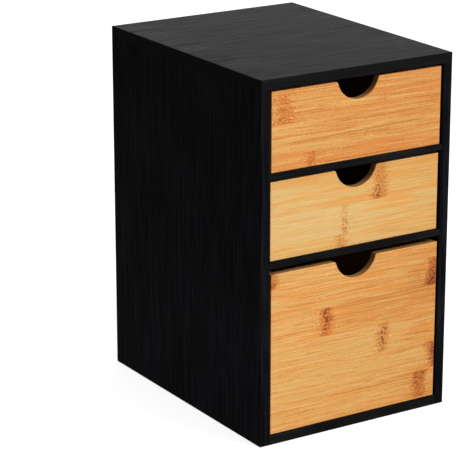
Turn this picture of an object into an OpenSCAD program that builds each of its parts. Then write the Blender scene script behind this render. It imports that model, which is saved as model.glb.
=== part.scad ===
// Desktop mini drawers: a black cabinet of thin boards with two shallow drawers over a tall one.
// Origin at the centre of the underside, +Z up, drawer fronts towards -Y. All sizes in millimetres.

/* [Cabinet] */
// Overall width
cabinet_w = 170; // [130:1:260]
// Overall depth, front to back
cabinet_d = 215; // [150:1:320]
// Overall height
cabinet_h = 280; // [250:1:420]
// Thickness of the top, bottom and side boards
board_t = 8; // [7:0.5:12]
// Thickness of the two dividers
divider_t = 5; // [4:0.5:8]
// Thickness of the back panel
back_t = 3; // [2:0.5:5]
// Clear height of the top bay
top_bay_h = 62; // [45:1:80]
// Clear height of the middle bay; the bottom bay takes what is left
middle_bay_h = 62; // [45:1:80]
// Radius sanded onto the cabinet's outer edges
outer_edge_r = 0.8; // [0.4:0.1:1.5]
// Radius sanded onto the front edges round each bay
bay_edge_r = 0.5; // [0.2:0.1:1]

/* [Cabinet joinery] */
// Depth of the housing that a side has for each divider's end
housing_depth = 2.5; // [1.5:0.5:4]
// Distance from the front edge to the blind end of a housing
housing_stop = 6; // [4:1:20]
// How far the back panel's rabbet reaches into each outer board
rabbet_reach = 4; // [2:0.5:5]
// Diameter of a corner dowel
dowel_d = 4; // [3:0.5:5]
// Length of a corner dowel
dowel_l = 16; // [12:1:24]
// Part of a dowel's length that sits in a board's face
dowel_in_face = 5; // [3:0.5:5.5]
// Distance of the dowels from the cabinet's front and back
dowel_setback = 35; // [20:1:60]

/* [Drawers] */
// Thickness of a drawer's front
front_t = 6; // [5:0.5:9]
// Thickness of a drawer's sides and back
wall_t = 5; // [4:0.5:7]
// Thickness of a drawer's floor
floor_t = 3; // [2:0.5:4]
// Height of the floor's underside above the drawer's lower edge
floor_rise = 3; // [2:0.5:8]
// Radius sanded onto the edges of the drawers
drawer_edge_r = 0.5; // [0.2:0.1:1.2]
// Depth that the sides' front ends are let into the front
lap_depth = 2; // [1:0.5:3]
// Depth of the grooves for the floor, and of the rabbets for the back
groove_depth = 2.5; // [1.5:0.5:3]

/* [Finger notches] */
// Radius of the notch in the top edge of each front
notch_r = 18.5; // [15:0.5:26]
// Depth of the notch below the top edge
notch_depth = 15; // [8:0.5:15]
// Radius that rounds the two corners where the notch meets the top edge
notch_mouth_r = 2; // [1:0.5:4]

/* [Fits] */
// Gap between a drawer and the cabinet at each side
side_gap = 1.5; // [0.5:0.1:3]
// Gap between a drawer and the board that it slides on
slide_gap = 0.3; // [0.2:0.05:0.5]
// Gap above the two shallow drawers
head_gap = 1.7; // [1:0.1:4]
// Gap above the tall drawer
tall_head_gap = 4.5; // [1:0.1:8]
// Gap left behind a drawer that is pushed fully in
stop_gap = 0.3; // [0.2:0.05:0.5]
// How far a drawer's front lies behind the cabinet's when it is pushed fully in
full_inset = 2; // [0.5:0.1:6]
// How far the top drawer is left standing out from there
top_drawer_out = 1; // [0:0.1:3]
// How far the bottom drawer is left standing out from there
bottom_drawer_out = 1.5; // [0:0.1:3]
// Glue gap round a dowel, a divider's end, a drawer floor or the back panel
glue_gap = 0.1; // [0.05:0.05:0.2]
// Space for spare glue beyond each end of a dowel
dowel_end_gap = 0.5; // [0.2:0.1:1]

/* [Colours] */
// Black lacquer of the cabinet
black = "#1d1d1f";
// Bamboo of the top drawer's front
orange_bamboo = "#db914e";
// Bamboo of the middle drawer's front
pale_bamboo = "#e4b96e";
// Bamboo of the bottom drawer's front
honey_bamboo = "#dfa062";
// Bamboo of the drawers' sides and backs
wall_bamboo = "#d9a867";
// Thin board of the drawers' floors
floor_board = "#dcb985";
// Beech of the dowels
dowel_beech = "#d8b48c";

/* [Hidden] */

$fn = 64;
// How far a cutting shape runs past the surface that it cuts
over = 1;

front_y = -cabinet_d / 2;
back_y = cabinet_d / 2;
inner_w = cabinet_w - 2 * board_t;
underside_z = cabinet_h - board_t;
rabbet_y = back_y - back_t;
back_panel_w = inner_w + 2 * (rabbet_reach - glue_gap);
back_panel_h = cabinet_h - 2 * (board_t - rabbet_reach + glue_gap);

// Bays from the top down: the height of each bay's floor above the ground, and its clear height
upper_divider_z = underside_z - top_bay_h - divider_t;
lower_divider_z = upper_divider_z - middle_bay_h - divider_t;
BAY_FLOORS = [upper_divider_z + divider_t, lower_divider_z + divider_t, board_t];
BAY_HEIGHTS = [top_bay_h, middle_bay_h, lower_divider_z - board_t];

// The same order for the drawers
TOP = 0;
MIDDLE = 1;
BOTTOM = 2;
HEAD_GAPS = [head_gap, head_gap, tall_head_gap];
STANDING_OUT = [top_drawer_out, 0, bottom_drawer_out];
drawer_w = inner_w - 2 * side_gap;
drawer_l = rabbet_y - stop_gap - (front_y + full_inset);
inside_w = drawer_w - 2 * wall_t;
floor_w = inside_w + 2 * (groove_depth - glue_gap);
floor_l = drawer_l - front_t - wall_t + 2 * (groove_depth - glue_gap);
// The notch's centre lies this far above the top edge
notch_rise = notch_r - notch_depth;

function drawer_z(d) = BAY_FLOORS[d] + slide_gap;
function drawer_h(d) = BAY_HEIGHTS[d] - slide_gap - HEAD_GAPS[d];
function drawer_y(d) = front_y + full_inset - STANDING_OUT[d];

// --- Shared shapes ---

// Rectangle from the origin with its four corners rounded
module rounded_rect(w, h, r) {
    translate([r, 0]) square([w - 2 * r, h]);
    translate([0, r]) square([w, h - 2 * r]);
    for (x = [r, w - r], y = [r, h - r])
        translate([x, y]) circle(r);
}

// Block from the origin with all twelve edges sanded to radius r
module eased_block(w, d, h, r) {
    intersection() {
        linear_extrude(h) rounded_rect(w, d, r);
        translate([0, d, 0]) rotate([90, 0, 0]) linear_extrude(d) rounded_rect(w, h, r);
        rotate([90, 0, 90]) linear_extrude(w) rounded_rect(d, h, r);
    }
}

// Slot of width w whose front edges flare outwards by a quarter round of radius r
module flared_slot(w, r) {
    difference() {
        translate([-r, -over]) square([w + 2 * r, over + r]);
        for (x = [-r, w + r])
            translate([x, r]) circle(r);
    }
}

// --- Cabinet ---

// What is cut away at the front of the boards to ease the edges round every bay
module bay_flares() {
    for (bay = [TOP, MIDDLE, BOTTOM])
        translate([-inner_w / 2, front_y, BAY_FLOORS[bay]])
            intersection() {
                translate([0, 0, -bay_edge_r])
                    linear_extrude(BAY_HEIGHTS[bay] + 2 * bay_edge_r) flared_slot(inner_w, bay_edge_r);
                translate([inner_w + bay_edge_r, 0, 0]) rotate([0, -90, 0])
                    linear_extrude(inner_w + 2 * bay_edge_r) flared_slot(BAY_HEIGHTS[bay], bay_edge_r);
            }
}

// The space that the back panel fills at the rear of the boards
module back_rabbet() {
    translate([-inner_w / 2 - rabbet_reach, rabbet_y, board_t - rabbet_reach])
        cube([inner_w + 2 * rabbet_reach, back_t + over, cabinet_h - 2 * (board_t - rabbet_reach)]);
}

// A piece of the cabinet's outer block, from x, z and of width w and height h, with what all boards lose
module outer_board(x, z, w, h) {
    difference() {
        intersection() {
            translate([-cabinet_w / 2, front_y, 0])
                eased_block(cabinet_w, cabinet_d, cabinet_h, outer_edge_r);
            translate([x, front_y - over, z]) cube([w, cabinet_d + 2 * over, h]);
        }
        bay_flares();
        back_rabbet();
    }
}

// Dowels, or with a gap the holes for them: those in +X stand for the mirrored pair as well
module dowels_one_side(gap) {
    end = gap > 0 ? dowel_end_gap : 0;
    for (y = [front_y + dowel_setback, back_y - dowel_setback]) {
        translate([(cabinet_w - board_t) / 2, y, underside_z - dowel_l + dowel_in_face - end])
            cylinder(d = dowel_d + 2 * gap, h = dowel_l + 2 * end);
        translate([inner_w / 2 + dowel_in_face + end, y, board_t / 2]) rotate([0, -90, 0])
            cylinder(d = dowel_d + 2 * gap, h = dowel_l + 2 * end);
    }
}

module dowels(gap) {
    dowels_one_side(gap);
    mirror([1, 0, 0]) dowels_one_side(gap);
}

// The right side; the left one is its mirror image
module side_board() {
    difference() {
        outer_board(inner_w / 2, -over, board_t + over, underside_z + over);
        for (z = [upper_divider_z, lower_divider_z])
            translate([inner_w / 2 - over, front_y + housing_stop, z])
                cube([housing_depth + over, cabinet_d - housing_stop - back_t + over, divider_t]);
        dowels(glue_gap);
    }
}

module left_side() {
    color(black) mirror([1, 0, 0]) side_board();
}

module right_side() {
    color(black) side_board();
}

module top_panel() {
    color(black) difference() {
        outer_board(-cabinet_w / 2 - over, underside_z, cabinet_w + 2 * over, board_t + over);
        dowels(glue_gap);
    }
}

module bottom_panel() {
    color(black) difference() {
        outer_board(-inner_w / 2, -over, inner_w, board_t + over);
        dowels(glue_gap);
    }
}

// A divider fills the width between the sides, and behind the housings' blind ends it reaches into them
module divider(z) {
    tongue_w = inner_w + 2 * (housing_depth - glue_gap);
    tongue_y = front_y + housing_stop + glue_gap;
    difference() {
        union() {
            translate([-inner_w / 2, front_y, z]) cube([inner_w, rabbet_y - front_y, divider_t]);
            translate([-tongue_w / 2, tongue_y, z]) cube([tongue_w, rabbet_y - tongue_y, divider_t]);
        }
        bay_flares();
    }
}

module upper_divider() {
    color(black) divider(upper_divider_z);
}

module lower_divider() {
    color(black) divider(lower_divider_z);
}

module back_panel() {
    color(black) translate([-back_panel_w / 2, rabbet_y, (cabinet_h - back_panel_h) / 2])
        cube([back_panel_w, back_t, back_panel_h]);
}

module corner_dowels() {
    color(dowel_beech) dowels(0);
}

// --- Drawers: each module draws in the drawer's own place, from its lower front left corner ---

module in_drawer(d) {
    translate([-drawer_w / 2, drawer_y(d), drawer_z(d)]) children();
}

// The notch seen from the front: a round bite whose two upper corners are rounded over
module notch_outline(h) {
    reach = notch_r + notch_mouth_r;
    mouth_rise = notch_rise + notch_mouth_r;
    mouth_x = sqrt(pow(reach, 2) - pow(mouth_rise, 2));
    // Depth below the top edge at which each rounded corner runs into the bite
    touch = notch_mouth_r * (1 - mouth_rise / reach);
    translate([drawer_w / 2, h]) {
        translate([0, notch_rise]) circle(notch_r);
        difference() {
            translate([-mouth_x, -touch]) square([2 * mouth_x, touch + over]);
            for (x = [-mouth_x, mouth_x])
                translate([x, -notch_mouth_r]) circle(notch_mouth_r);
        }
    }
}

// Round bite of the notch, widened at both faces so that its rim is eased
module notch_rim(h) {
    translate([drawer_w / 2, 0, h + notch_rise]) rotate([-90, 0, 0])
        rotate_extrude()
            difference() {
                translate([0, -over]) square([notch_r + drawer_edge_r, front_t + 2 * over]);
                translate([notch_r, drawer_edge_r])
                    square([drawer_edge_r + over, front_t - 2 * drawer_edge_r]);
                for (z = [drawer_edge_r, front_t - drawer_edge_r])
                    translate([notch_r + drawer_edge_r, z]) circle(drawer_edge_r);
            }
}

// Groove for the floor in the faces all round the inside of the drawer
module floor_groove() {
    translate([wall_t - groove_depth, front_t - groove_depth, floor_rise])
        cube([inside_w + 2 * groove_depth, drawer_l - front_t - wall_t + 2 * groove_depth, floor_t]);
}

module drawer_front(d) {
    h = drawer_h(d);
    in_drawer(d) difference() {
        eased_block(drawer_w, front_t, h, drawer_edge_r);
        translate([0, front_t + over, 0]) rotate([90, 0, 0])
            linear_extrude(front_t + 2 * over) notch_outline(h);
        notch_rim(h);
        for (x = [-over, drawer_w - wall_t])
            translate([x, front_t - lap_depth, -over]) cube([wall_t + over, lap_depth + over, h + 2 * over]);
        floor_groove();
    }
}

// The left side; the right one is its mirror image
module drawer_side(d) {
    h = drawer_h(d);
    side_y = front_t - lap_depth;
    difference() {
        translate([0, drawer_l, 0]) rotate([90, 0, 0])
            linear_extrude(drawer_l - side_y) rounded_rect(wall_t, h, drawer_edge_r);
        translate([wall_t - groove_depth, drawer_l - wall_t, -over])
            cube([groove_depth + over, wall_t + over, h + 2 * over]);
        translate([wall_t - groove_depth, side_y - over, floor_rise])
            cube([groove_depth + over, drawer_l, floor_t]);
    }
}

module drawer_left_side(d) {
    in_drawer(d) drawer_side(d);
}

module drawer_right_side(d) {
    in_drawer(d) translate([drawer_w, 0, 0]) mirror([1, 0, 0]) drawer_side(d);
}

module drawer_back(d) {
    back_w = inside_w + 2 * groove_depth;
    in_drawer(d) difference() {
        translate([wall_t - groove_depth, drawer_l - wall_t, 0]) rotate([90, 0, 90])
            linear_extrude(back_w) rounded_rect(wall_t, drawer_h(d), drawer_edge_r);
        floor_groove();
    }
}

module drawer_floor(d) {
    in_drawer(d) translate([(drawer_w - floor_w) / 2, front_t - groove_depth + glue_gap, floor_rise])
        cube([floor_w, floor_l, floor_t]);
}

module top_drawer_front() {
    color(orange_bamboo) drawer_front(TOP);
}

module top_drawer_left_side() {
    color(wall_bamboo) drawer_left_side(TOP);
}

module top_drawer_right_side() {
    color(wall_bamboo) drawer_right_side(TOP);
}

module top_drawer_back() {
    color(wall_bamboo) drawer_back(TOP);
}

module top_drawer_floor() {
    color(floor_board) drawer_floor(TOP);
}

module middle_drawer_front() {
    color(pale_bamboo) drawer_front(MIDDLE);
}

module middle_drawer_left_side() {
    color(wall_bamboo) drawer_left_side(MIDDLE);
}

module middle_drawer_right_side() {
    color(wall_bamboo) drawer_right_side(MIDDLE);
}

module middle_drawer_back() {
    color(wall_bamboo) drawer_back(MIDDLE);
}

module middle_drawer_floor() {
    color(floor_board) drawer_floor(MIDDLE);
}

module bottom_drawer_front() {
    color(honey_bamboo) drawer_front(BOTTOM);
}

module bottom_drawer_left_side() {
    color(wall_bamboo) drawer_left_side(BOTTOM);
}

module bottom_drawer_right_side() {
    color(wall_bamboo) drawer_right_side(BOTTOM);
}

module bottom_drawer_back() {
    color(wall_bamboo) drawer_back(BOTTOM);
}

module bottom_drawer_floor() {
    color(floor_board) drawer_floor(BOTTOM);
}

left_side();
right_side();
top_panel();
bottom_panel();
upper_divider();
lower_divider();
back_panel();
corner_dowels();
top_drawer_front();
top_drawer_left_side();
top_drawer_right_side();
top_drawer_back();
top_drawer_floor();
middle_drawer_front();
middle_drawer_left_side();
middle_drawer_right_side();
middle_drawer_back();
middle_drawer_floor();
bottom_drawer_front();
bottom_drawer_left_side();
bottom_drawer_right_side();
bottom_drawer_back();
bottom_drawer_floor();
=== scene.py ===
"""Looks of the mini drawer cabinet: painted boards, bamboo drawers, floor, lamps and camera."""
import math
from collections import namedtuple
from functools import reduce

import bpy
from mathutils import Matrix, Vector

MM = 0.001
X, Y, Z = 0, 1, 2

# --- Paint: tones in the grain's hollows, on average and on its ridges, and reliefs in millimetres ---

# The sides and back have a darker, bluer copy of the black paint: painted shade
SHADOWED_SIDE_BLACK = ("#0b0b0d", "#141417", "#212226")
TOP_BLACK = ("#161516", "#1a191a", "#1f1e1f")
INNER_BLACK = ("#0f0e0f", "#191818", "#272526")
PAINT_RELIEF, TOP_RELIEF = 0.023, 0.07
PAINT_PITCH, TOP_PITCH = 1.5, 3.2
PAINT_GLOSS = 0.0015

# --- Bamboo: dark, middle and light fibres, then the vivid and the dull colour that drift over them ---

ORANGE = ("#cf7530", "#e7a256", "#f4c17a", "#e8944b", "#e4ab5c")
PALE = ("#d9984c", "#edbb70", "#f4d093", "#f2a652", "#e8c281")
HONEY = ("#d37d36", "#edaa5a", "#f8ca84", "#f29c4a", "#eab66c")
WALL = ("#c08a4e", "#d9a867", "#e8c084", "#d49a58", "#dcb878")

THREAD = "#9a4a16"
# Dark colour of the painted shade that falls off across each drawer front
PAINTED_FALLOFF = "#200800"
# Colour of the sawn edges: partly their own duller tone, partly painted shade
DULL_EDGE_AND_SHADOW = "#8a6440"
PORE = "#4a2810"
BAMBOO_GLOSS = 0.15

# What scorching leaves of a colour, from none to the darkest
SCORCH = [
    (0.00, (1.00, 1.00, 1.00, 1)),
    (0.25, (0.91, 0.74, 0.63, 1)),
    (0.50, (0.79, 0.59, 0.46, 1)),
    (0.75, (0.66, 0.43, 0.35, 1)),
    (1.00, (0.34, 0.17, 0.17, 1)),
]

# Places on a board are in millimetres in the cabinet's frame: u along the grain, v up and w through the board.
# Seams are the heights at which strips meet, and warmth says how vivid each strip is, from the lowest up.
STRIP = 22.5
SEAM_BLUR = 0.15
TOP_SEAMS, TOP_WARMTH = (222.5, 245, 267.5), (0.6, 0.15, 0.5, 0.5)
MIDDLE_SEAMS, MIDDLE_WARMTH = (153.5, 176, 198.5), (0.4, 0.2, 0.55, 0.65)
BOTTOM_SEAMS, BOTTOM_WARMTH = (9.5, 31.5, 54, 76.5, 99, 122), (0.3, 0.25, 0.05, 0.25, 0.55, 0.35, 0.3)
WALL_SEAMS, WALL_WARMTH = tuple(20.0 + STRIP * k for k in range(12)), (0.2, 0.5, 0.3, 0.6) * 3 + (0.2,)

# A knuckle crosses one strip, from v low to v high, along a column of dark beads at u. Its stain lies a shift beside
# the beads, both are strongest near the darkest v, and the wood around it can be paler.
Knuckle = namedtuple("Knuckle", "at low high half_width stain beads darkest slant shift pale", defaults=(0, 0, 0))

TOP_KNUCKLES = [
    Knuckle(-65, 245, 268, 5.4, 0.29, 0.12, 251),
    Knuckle(-41, 200, 222, 3.6, 0.29, 0.12, 208),
]
MIDDLE_KNUCKLES = [
    Knuckle(19.5, 176, 204, 5.2, 0.37, 0.65, 181, 0.05, 2.5),
    Knuckle(-9.5, 153.5, 176, 2.8, 0.10, 0.70, 160, 0, 0, 0.25),
    Knuckle(-12.5, 143, 153.5, 4.0, 0.16, 0.38, 147),
]
BOTTOM_KNUCKLES = [
    Knuckle(72, 99, 122, 4.6, 0.75, 0.6, 102.5, 0.04),
    Knuckle(-26.5, 77, 99, 4.2, 0.45, 0.95, 95.5, 0.04, 1.0, 0.2),
    Knuckle(26, 54, 77, 4.6, 0.27, 0.90, 66, 0, 0, 0.5),
    Knuckle(74.5, 32, 54, 4.4, 0.56, 0.75, 42, -0.10),
    Knuckle(60.5, 9.5, 31.5, 5.2, 0.60, 0.3, 28, 0.05, 1.0),
    Knuckle(-75, 122, 134, 4.6, 0.62, 0.1, 126),
]
LEFT_WALL_KNUCKLES = [
    Knuckle(-48, 42.5, 65, 4.0, 0.35, 0.4, 60),
    Knuckle(38, 87.5, 110, 4.6, 0.45, 0.5, 94, 0.05, 1.0),
    Knuckle(-20, 155, 177.5, 3.6, 0.25, 0.3, 170, 0, 0, 0.2),
    Knuckle(62, 222.5, 245, 4.2, 0.40, 0.3, 228, 0.05, 1.0),
]
RIGHT_WALL_KNUCKLES = [
    Knuckle(-12, 20, 42.5, 4.4, 0.45, 0.5, 37, 0.05, 1.0),
    Knuckle(-66, 65, 87.5, 4.0, 0.30, 0.3, 70),
    Knuckle(46, 110, 132.5, 3.6, 0.25, 0.4, 126, 0, 0, 0.3),
    Knuckle(-34, 177.5, 200, 4.4, 0.38, 0.4, 182, 0.05, 1.0),
    Knuckle(12, 245, 267.5, 3.8, 0.30, 0.3, 250),
]
BACK_KNUCKLES = [
    Knuckle(-24, 65, 87.5, 4.2, 0.40, 0.4, 81, 0.05, 1.0),
    Knuckle(35, 110, 132.5, 3.8, 0.28, 0.3, 115),
    Knuckle(-50, 155, 177.5, 4.0, 0.35, 0.4, 160),
    Knuckle(20, 222.5, 245, 4.0, 0.35, 0.3, 240, 0.05),
]

# Single dark fibres, and broad faint stains, as (v, u low, u high, half width, strength)
TOP_LINES = [(231.5, -60, 60, 0.35, 0.6), (243.8, -30, 70, 0.45, 0.35)]
BOTTOM_LINES = [
    (100.2, 62, 72, 0.9, 0.45),
    (98.6, -20, 66, 0.8, 0.25),
    (104, 48, 80, 8, 0.16),
    (91, -10, 80, 6, 0.10),
]
LINE_FADE = 8

# --- Studio: metres, watts and degrees ---

FLOOR_HALF_SIZE, FLOOR_DROP = 12.0, 0.0005
FLOOR_GREY, FLOOR_GLOW = 0.42, 0.83
AMBIENT = 0.19
CABINET_MIDDLE = (0.0, 0.0, 0.14)
CAMERA_PLACE = (-0.930, -1.406, 0.658)
CAMERA_AZIMUTH, CAMERA_ELEVATION = -32.37, 17.62
CAMERA_SENSOR, CAMERA_LENS = 36.0, 172.8


def linear(hex_colour):
    """A colour written as #rrggbb, as the linear RGBA that a shader takes."""
    parts = [int(hex_colour[i:i + 2], 16) / 255 for i in (1, 3, 5)]
    return tuple(c / 12.92 if c <= 0.04045 else ((c + 0.055) / 1.055) ** 2.4 for c in parts) + (1.0,)


# --- Small language for node trees: a Field is a number that varies over the surface ---

class Field:
    def __init__(self, tree, socket):
        self.tree, self.socket = tree, socket

    def _math(self, operation, *others):
        node = self.tree.nodes.new("ShaderNodeMath")
        node.operation = operation
        for place, value in enumerate((self,) + others):
            feed(self.tree, node.inputs[place], value)
        return Field(self.tree, node.outputs[0])

    def __add__(self, other): return self._math("ADD", other)
    def __sub__(self, other): return self._math("SUBTRACT", other)
    def __mul__(self, other): return self._math("MULTIPLY", other)
    def __truediv__(self, other): return self._math("DIVIDE", other)
    def absolute(self): return self._math("ABSOLUTE")
    def largest(self, other): return self._math("MAXIMUM", other)

    def bell(self, half_width):
        """1 where the field is 0, falling off like a Gaussian."""
        scaled = self / half_width
        return (scaled * scaled * -1.0)._math("EXPONENT")

    def step(self, low, high):
        """0 below low and 1 above high, with a smooth rise between. It falls instead if low is above high."""
        node = self.tree.nodes.new("ShaderNodeMapRange")
        node.interpolation_type = "SMOOTHSTEP"
        feed(self.tree, node.inputs["Value"], self)
        ends = (0, 1) if low < high else (1, 0)
        node.inputs["From Min"].default_value = min(low, high)
        node.inputs["From Max"].default_value = max(low, high)
        node.inputs["To Min"].default_value, node.inputs["To Max"].default_value = ends
        return Field(self.tree, node.outputs["Result"])


def feed(tree, socket, value):
    """Gives a socket a field, another node's output or a constant."""
    if isinstance(value, Field):
        value = value.socket
    if isinstance(value, bpy.types.NodeSocket):
        tree.links.new(value, socket)
    else:
        socket.default_value = value


def point(tree, x, y, z):
    node = tree.nodes.new("ShaderNodeCombineXYZ")
    for place, value in enumerate((x, y, z)):
        feed(tree, node.inputs[place], value)
    return node.outputs[0]


def noise(tree, x, y, z, detail=2.0, rough=0.5):
    """Noise from 0 to 1, about 0.5 on average. Its features are about 1 long in each field, so a place in
    millimetres is divided by the length that they are to have."""
    node = tree.nodes.new("ShaderNodeTexNoise")
    tree.links.new(point(tree, x, y, z), node.inputs["Vector"])
    node.inputs["Scale"].default_value = 1.0
    node.inputs["Detail"].default_value = detail
    node.inputs["Roughness"].default_value = rough
    return Field(tree, node.outputs["Fac"])


def cells(tree, x, y):
    """Distance to the nearest of points scattered over a plane, 0 at each point and about 0.5 between them."""
    node = tree.nodes.new("ShaderNodeTexVoronoi")
    node.voronoi_dimensions = "2D"
    tree.links.new(point(tree, x, y, 0.0), node.inputs["Vector"])
    node.inputs["Scale"].default_value = 1.0
    return Field(tree, node.outputs["Distance"])


def staircase(field, edges, values):
    """values[0] below the first edge, and the next value past each edge."""
    total = None
    for edge, before, after in zip(edges, values, values[1:]):
        part = field.step(edge - SEAM_BLUR, edge + SEAM_BLUR) * (after - before)
        total = part if total is None else total + part
    return total + values[0]


def strongest(fields):
    return reduce(Field.largest, fields)


def ramp(tree, field, stops):
    """Colour for a field, from stops of (place, colour)."""
    node = tree.nodes.new("ShaderNodeValToRGB")
    feed(tree, node.inputs["Fac"], field)
    elements = node.color_ramp.elements
    while len(elements) < len(stops):
        elements.new(0.5)
    for element, (place, colour) in zip(elements, stops):
        element.position, element.color = place, colour
    return node.outputs["Color"]


def tone_ramp(tree, field, tones, places):
    """Colour for a field, from a dark, a middle and a light tone and the places where they are reached."""
    return ramp(tree, field, [(place, linear(tone)) for place, tone in zip(places, tones)])


def mix(tree, field, a, b, blend_type="MIX"):
    """Colour a where the field is 0 and colour b, or a blended with b, where it is 1."""
    node = tree.nodes.new("ShaderNodeMix")
    node.data_type, node.blend_type = "RGBA", blend_type
    inputs = {socket.identifier: socket for socket in node.inputs}
    feed(tree, inputs["Factor_Float"], field)
    feed(tree, inputs["A_Color"], a)
    feed(tree, inputs["B_Color"], b)
    return {socket.identifier: socket for socket in node.outputs}["Result_Color"]


def empty_tree(owner):
    """The cleared node tree of a material or a world."""
    owner.use_nodes = True
    owner.node_tree.nodes.clear()
    return owner.node_tree


def new_material(name):
    material = bpy.data.materials.new(name)
    tree = empty_tree(material)
    output = tree.nodes.new("ShaderNodeOutputMaterial")
    shader = tree.nodes.new("ShaderNodeBsdfPrincipled")
    tree.links.new(shader.outputs[0], output.inputs["Surface"])
    return material, tree, shader


def coordinates(tree, kind):
    """The three parts of a texture coordinate."""
    node = tree.nodes.new("ShaderNodeTexCoord")
    split = tree.nodes.new("ShaderNodeSeparateXYZ")
    tree.links.new(node.outputs[kind], split.inputs[0])
    return [Field(tree, split.outputs[axis]) for axis in (X, Y, Z)]


def place_in_mm(tree):
    """The surface point in the cabinet's own frame, in millimetres."""
    return [part * 1000.0 for part in coordinates(tree, "Object")]


def facing(tree, axis):
    """How squarely the surface faces an axis, from 0 to 1."""
    return coordinates(tree, "Normal")[axis].absolute()


def bump(tree, shader, height, strength, depth_mm):
    node = tree.nodes.new("ShaderNodeBump")
    node.inputs["Strength"].default_value = strength
    node.inputs["Distance"].default_value = depth_mm * MM
    feed(tree, node.inputs["Height"], height)
    tree.links.new(node.outputs["Normal"], shader.inputs["Normal"])


# --- Materials ---

def lacquer(name, along, seed, tones, relief=PAINT_RELIEF, pitch=PAINT_PITCH, worn=0.0):
    """Black paint on a board whose grain runs along one axis and shows through as faint lines, of a relief and a
    pitch in millimetres. A worn board's broad face has lines stronger by that share, and by four times that at its
    low end, and its ends have the darker, bluer black of the sides, a painted shade."""
    material, tree, shader = new_material(name)
    p = place_in_mm(tree)
    across = [axis for axis in (X, Y, Z) if axis != along]
    u, v, w = p[along], p[across[0]], p[across[1]]
    drift = noise(tree, u / 70.0, v / 22.0, w / 22.0 + seed, detail=1.0) * 3.0
    lines = noise(tree, u / 50.0 + seed, (v + drift) / pitch, (w + drift) / pitch, detail=3.0, rough=0.6) - 0.5
    if worn:
        low_end = u.step(0, -80)
        lines = lines * (facing(tree, Z).step(0.5, 0.9) * (low_end * 3.0 + 1.0) * worn + 1.0)
    pores = noise(tree, u / 14.0 - seed, (v + drift) / 0.45, (w + drift) / 0.45, detail=1.0)
    cloud = noise(tree, u / 60.0, v / 35.0, w / 35.0 - seed, detail=2.0)
    colour = tone_ramp(tree, lines + (cloud - 0.5) * 0.35 + 0.5, tones, (0.25, 0.50, 0.75))
    if worn:
        # Painted shade: the top's ends take the darker, bluer black of the sides
        colour = mix(tree, facing(tree, X).step(0.5, 0.9), colour, linear(SHADOWED_SIDE_BLACK[1]))
    tree.links.new(colour, shader.inputs["Base Color"])
    feed(tree, shader.inputs["Roughness"], lines * 0.22 + (cloud - 0.5) * 0.1 + 0.30)
    shader.inputs["Specular IOR Level"].default_value = PAINT_GLOSS
    bump(tree, shader, lines * 0.7 + pores.step(0.62, 0.4) * 0.3, 0.9, relief)
    return material


def knuckle_marks(tree, knuckles, own, ragged, u, v, w):
    """How much knuckles scorch, stir and bleach the fibres, and the net of fibres that shows around them."""
    wander = noise(tree, own, v / 7.0, w / 9.0, detail=1.0) - 0.5
    rungs = noise(tree, u / 3.4 + own, v / 1.05, w / 2.0, detail=2.0, rough=0.6) - 0.5
    net = cells(tree, u / 2.6 + own, v / 1.8).step(0.32, 0.66)
    beads = cells(tree, u / 2.4 - own, v / 2.5).step(0.48, 0.26)
    burns, halos, lights = [], [], []
    for k in knuckles:
        within = v.step(k.low - 0.3, k.low + 0.5) * v.step(k.high + 0.3, k.high - 0.5)
        leaning = (v - (k.low + k.high) / 2) * k.slant
        offset = u - k.at - leaning + (wander * 1.6 + ragged * 1.8) * k.half_width
        strength = (v - k.darkest).bell(8.0) * 0.6 + 0.4
        zone = (offset - k.shift).absolute().step(k.half_width * 1.8, k.half_width * 0.3)
        stain = zone * (rungs * 2.6 + net * 0.3 + strength * 0.5 + 0.5) * k.stain
        column = beads * offset.bell(k.half_width * 0.8) * strength * k.beads
        burns.append((stain + column) * within)
        halos.append(offset.absolute().step(k.half_width + 12.0, k.half_width) * within)
        if k.pale:
            lights.append((offset + 8.0).bell(30.0) * within * k.pale)
    bleached = strongest(lights) if lights else None
    return strongest(burns), strongest(halos), bleached, net


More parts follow.
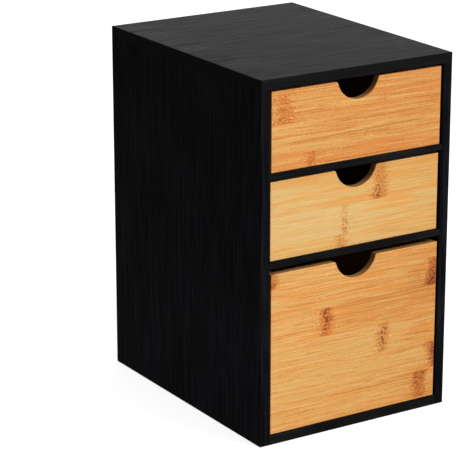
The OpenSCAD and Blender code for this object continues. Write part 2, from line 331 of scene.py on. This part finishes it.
def bamboo(name, along, seed, tones, seams, warmth, knuckles, lines=(), contrast=1.0, lean=0.0, shade=0.0):
    """Oiled bamboo board of upright strips glued edge to edge, one above another, with the grain along one axis.
    Lean reddens the board towards higher u, and shade darkens it there: painted shade, as if the light fell off
    across the board."""
    material, tree, shader = new_material(name)
    through = Y if along == X else X
    p = place_in_mm(tree)
    u, v, w = p[along], p[Z], p[through]

    # Each strip reads the noises at a place of its own
    own = staircase(v, seams, range(len(seams) + 1)) * 37.3 + seed
    ragged = noise(tree, u / 5.0, v / 1.3 + own, w / 6.0, detail=2.0) - 0.5
    scorch, stirred, bleached, net = knuckle_marks(tree, knuckles, own, ragged, u, v, w)

    # Fibres swing gently, and are stirred around knuckles
    swing = noise(tree, u / 90.0 + own, v / 40.0, w / 40.0, detail=1.0) - 0.5
    ripple = noise(tree, u / 24.0 - own, v / 8.0, w / 20.0, detail=1.0) - 0.5
    vv = v + swing * 2.4 + ripple * 1.6 + u * 0.006 + ragged * stirred * 1.6
    broad = noise(tree, u / 150.0 + own, vv / 3.4, w / 9.0, detail=1.0) - 0.5
    fibre = noise(tree, u / 85.0 + own, vv / 0.95, w / 1.6, detail=2.0, rough=0.7) - 0.5
    fine = noise(tree, u / 45.0 - own, (vv + u * 0.01) / 0.7, w / 1.2, detail=1.0) - 0.5
    speck = noise(tree, u / 1.7 + own, v / 1.1, w / 1.2, detail=1.0) - 0.5
    speck = speck * (stirred * 1.2 + 1.0) - net * stirred * 0.3
    grain = broad * 0.35 + fibre * 0.95 + fine * 1.2 + speck * 0.6

    # Tone of the fibres, and the colours that drift over them
    warmth_here = staircase(v, seams, warmth)
    if bleached is not None:
        warmth_here = warmth_here - bleached
    tone = grain * contrast - u * lean - warmth_here * 0.2 + 0.58
    streaks = noise(tree, u / 75.0 + own * 2.0, vv / 1.8, w / 4.0, detail=2.0, rough=0.7)
    patches = noise(tree, u / 45.0 - own, vv / 7.0, w / 9.0, detail=2.0)
    vivid = (streaks - 0.5) * 4.2 + (patches - 0.5) * 2.4 + warmth_here + u * lean
    dashes = noise(tree, u / 15.0 - own, vv / 0.9, w / 3.0, detail=1.0).step(0.58, 0.72)
    dark, _, _, vivid_tone, dull_tone = map(linear, tones)
    colour = tone_ramp(tree, tone, tones[:3], (0.10, 0.50, 0.90))
    colour = mix(tree, dashes * (0.5 * contrast), colour, dark)
    colour = mix(tree, vivid.step(0.3, 1.2) * 0.8, colour, vivid_tone)
    colour = mix(tree, vivid.step(0.3, -0.6) * 0.8, colour, dull_tone)
    for at, low, high, half_width, strength in lines:
        thread = (v - at - u * 0.02 + swing * 1.5).bell(half_width)
        thread = thread * u.step(low - LINE_FADE, low + LINE_FADE) * u.step(high + LINE_FADE, high - LINE_FADE)
        colour = mix(tree, thread * strength, colour, linear(THREAD))
    # Painted shade: the board darkens towards higher u, standing in for light falling off across it
    colour = mix(tree, u.step(-80, 100) * shade, colour, linear(PAINTED_FALLOFF))
    colour = mix(tree, 1.0, colour, ramp(tree, scorch, SCORCH), "MULTIPLY")

    # Sawn edges are duller and darker, partly their own colour and partly painted shade for the gaps above the
    # fronts and the walls of the notches, and at the ends of the fibres the pores show as dots
    colour = mix(tree, facing(tree, through).step(0.75, 0.35) * 0.8, colour, linear(DULL_EDGE_AND_SHADOW))
    pores = noise(tree, v / 0.7, w / 0.7, u / 40.0 + own, detail=1.0).step(0.55, 0.7)
    colour = mix(tree, facing(tree, along).step(0.15, 0.75) * pores * 0.5, colour, linear(PORE))
    tree.links.new(colour, shader.inputs["Base Color"])
    feed(tree, shader.inputs["Roughness"], fibre * 0.3 + 0.5)
    shader.inputs["Specular IOR Level"].default_value = BAMBOO_GLOSS
    bump(tree, shader, fibre + fine * 0.4, 0.2, 0.03)
    return material


def thin_board(name, seed):
    """The drawers' floors: pale thin board with fine grain along the drawer."""
    material, tree, shader = new_material(name)
    x, y, z = place_in_mm(tree)
    swing = (noise(tree, x / 40.0, y / 90.0, seed, detail=1.0) - 0.5) * 14.0
    rings = noise(tree, (x + swing) / 6.0, y / 120.0 + seed, z / 30.0, detail=3.0, rough=0.6)
    fine = noise(tree, x / 0.6, y / 18.0, z / 2.0 + seed, detail=2.0)
    tone = (rings - 0.5) * 1.1 + (fine - 0.5) * 0.5 + 0.5
    tree.links.new(tone_ramp(tree, tone, ("#c39a63", "#d7b27e", "#e5c799"), (0.2, 0.5, 0.8)),
                   shader.inputs["Base Color"])
    feed(tree, shader.inputs["Roughness"], (fine - 0.5) * 0.2 + 0.58)
    shader.inputs["Specular IOR Level"].default_value = 0.3
    bump(tree, shader, fine, 0.2, 0.05)
    return material


def beech(name):
    """The dowels: plain pale wood with short flecks."""
    material, tree, shader = new_material(name)
    x, y, z = place_in_mm(tree)
    grain = noise(tree, x / 2.0, y / 1.0, z / 2.0, detail=3.0)
    flecks = noise(tree, x / 1.2, y / 0.3, z / 1.2, detail=1.0).step(0.6, 0.7)
    tone = (grain - 0.5) * 0.8 + 0.5 - flecks * 0.2
    tree.links.new(tone_ramp(tree, tone, ("#b48a5c", "#d8b48c", "#e7cba8"), (0.1, 0.5, 0.9)),
                   shader.inputs["Base Color"])
    feed(tree, shader.inputs["Roughness"], grain * 0.2 + 0.5)
    bump(tree, shader, grain, 0.2, 0.05)
    return material


def dress(frame):
    """Gives every CAD node its material."""
    finish = {
        "left_side": lacquer("lacquer_left", Z, 3.0, SHADOWED_SIDE_BLACK),
        "right_side": lacquer("lacquer_right", Z, 17.0, SHADOWED_SIDE_BLACK),
        "top_panel": lacquer("lacquer_top", X, 31.0, TOP_BLACK, TOP_RELIEF, TOP_PITCH, worn=0.8),
        "bottom_panel": lacquer("lacquer_bottom", X, 43.0, INNER_BLACK),
        "upper_divider": lacquer("lacquer_upper_divider", X, 57.0, INNER_BLACK),
        "lower_divider": lacquer("lacquer_lower_divider", X, 71.0, INNER_BLACK),
        "back_panel": lacquer("lacquer_back", Z, 83.0, SHADOWED_SIDE_BLACK),
        "corner_dowels": beech("dowel_beech"),
        "top_drawer_front": bamboo("bamboo_top_front", X, 5.0, ORANGE, TOP_SEAMS, TOP_WARMTH, TOP_KNUCKLES,
                                   TOP_LINES, contrast=1.1, lean=0.0012, shade=0.08),
        "middle_drawer_front": bamboo("bamboo_middle_front", X, 11.0, PALE, MIDDLE_SEAMS, MIDDLE_WARMTH,
                                      MIDDLE_KNUCKLES, contrast=0.7, lean=0.0018, shade=0.05),
        "bottom_drawer_front": bamboo("bamboo_bottom_front", X, 23.0, HONEY, BOTTOM_SEAMS, BOTTOM_WARMTH,
                                      BOTTOM_KNUCKLES, BOTTOM_LINES, lean=0.0010, shade=0.11),
    }
    shared = {
        "left_side": bamboo("bamboo_left_walls", Y, 37.0, WALL, WALL_SEAMS, WALL_WARMTH, LEFT_WALL_KNUCKLES),
        "right_side": bamboo("bamboo_right_walls", Y, 53.0, WALL, WALL_SEAMS, WALL_WARMTH, RIGHT_WALL_KNUCKLES),
        "back": bamboo("bamboo_backs", X, 41.0, WALL, WALL_SEAMS, WALL_WARMTH, BACK_KNUCKLES),
        "floor": thin_board("floor_board", 6.0),
    }
    for drawer in ("top", "middle", "bottom"):
        for piece, material in shared.items():
            finish[f"{drawer}_drawer_{piece}"] = material
    for name, material in finish.items():
        mesh = frame["nodes"][name].data
        mesh.materials.clear()
        mesh.materials.append(material)


# --- Studio ---

def seen(tree):
    """1 for rays from the camera, mirrored or refracted, and 0 for those that carry light between surfaces."""
    rays = tree.nodes.new("ShaderNodeLightPath")
    direct = Field(tree, rays.outputs["Is Camera Ray"])
    return direct.largest(rays.outputs["Is Glossy Ray"]).largest(rays.outputs["Is Transmission Ray"])


def make_floor():
    """A large pale floor. The light that it shows to the camera and in gloss is white, and shadows darken it."""
    half = FLOOR_HALF_SIZE
    mesh = bpy.data.meshes.new("studio_floor")
    mesh.from_pydata([(-half, -half, 0), (half, -half, 0), (half, half, 0), (-half, half, 0)], [], [(0, 1, 2, 3)])
    floor = bpy.data.objects.new("studio_floor", mesh)
    bpy.context.scene.collection.objects.link(floor)
    floor.location.z = -FLOOR_DROP
    material = bpy.data.materials.new("studio_floor")
    tree = empty_tree(material)
    output = tree.nodes.new("ShaderNodeOutputMaterial")
    diffuse = tree.nodes.new("ShaderNodeBsdfDiffuse")
    diffuse.inputs["Color"].default_value = (FLOOR_GREY, FLOOR_GREY, FLOOR_GREY, 1)
    glow = tree.nodes.new("ShaderNodeEmission")
    feed(tree, glow.inputs["Strength"], seen(tree) * FLOOR_GLOW)
    both = tree.nodes.new("ShaderNodeAddShader")
    tree.links.new(diffuse.outputs[0], both.inputs[0])
    tree.links.new(glow.outputs[0], both.inputs[1])
    tree.links.new(both.outputs[0], output.inputs["Surface"])
    mesh.materials.append(material)


def make_world():
    """White to the eye and in gloss, and a dim ambient light otherwise."""
    world = bpy.data.worlds.new("studio")
    bpy.context.scene.world = world
    tree = empty_tree(world)
    output = tree.nodes.new("ShaderNodeOutputWorld")
    background = tree.nodes.new("ShaderNodeBackground")
    background.inputs["Color"].default_value = (1, 1, 1, 1)
    feed(tree, background.inputs["Strength"], seen(tree) * (1.0 - AMBIENT) + AMBIENT)
    tree.links.new(background.outputs[0], output.inputs["Surface"])


def softbox(name, place, aim, width, height, power, in_gloss=True):
    """An area lamp that the camera doesn't see."""
    data = bpy.data.lights.new(name, "AREA")
    data.shape, data.size, data.size_y, data.energy = "RECTANGLE", width, height, power
    lamp = bpy.data.objects.new(name, data)
    bpy.context.scene.collection.objects.link(lamp)
    lamp.location = place
    lamp.rotation_mode = "QUATERNION"
    lamp.rotation_quaternion = (Vector(aim) - Vector(place)).to_track_quat("-Z", "Y")
    lamp.visible_camera = False
    lamp.visible_glossy = in_gloss


def make_lamps():
    softbox("key", (1.3, -2.1, 1.7), CABINET_MIDDLE, 1.4, 1.4, 68)
    softbox("overhead", (0.1, -0.3, 2.6), CABINET_MIDDLE, 1.8, 1.8, 30)
    softbox("rear", (1.5, 2.4, 1.1), CABINET_MIDDLE, 2.4, 1.2, 17)
    # Stands in for light off the floor on the foot of the left side
    softbox("low", (-0.20, 0.0, 0.012), (0.0, 0.0, 0.012), 0.34, 0.01, 0.035, in_gloss=False)


def make_camera():
    azimuth, elevation = math.radians(CAMERA_AZIMUTH), math.radians(CAMERA_ELEVATION)
    back = Vector((math.sin(azimuth) * math.cos(elevation), -math.cos(azimuth) * math.cos(elevation),
                   math.sin(elevation)))
    data = bpy.data.cameras.new("camera")
    data.sensor_width, data.lens = CAMERA_SENSOR, CAMERA_LENS
    data.clip_start, data.clip_end = 0.05, 60.0
    camera = bpy.data.objects.new("camera", data)
    bpy.context.scene.collection.objects.link(camera)
    camera.location = CAMERA_PLACE
    camera.rotation_mode = "QUATERNION"
    camera.rotation_quaternion = (-back).to_track_quat("-Z", "Y")
    bpy.context.scene.camera = camera


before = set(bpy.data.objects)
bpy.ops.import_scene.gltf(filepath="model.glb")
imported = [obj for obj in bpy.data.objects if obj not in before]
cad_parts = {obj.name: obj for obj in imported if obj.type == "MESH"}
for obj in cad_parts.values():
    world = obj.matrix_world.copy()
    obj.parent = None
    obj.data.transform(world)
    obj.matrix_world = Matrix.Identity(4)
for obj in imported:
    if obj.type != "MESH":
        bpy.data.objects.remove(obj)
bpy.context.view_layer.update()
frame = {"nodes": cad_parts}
scene = bpy.context.scene
scene.view_settings.view_transform = "Standard"

dress(frame)
make_floor()
make_world()
make_lamps()
make_camera()
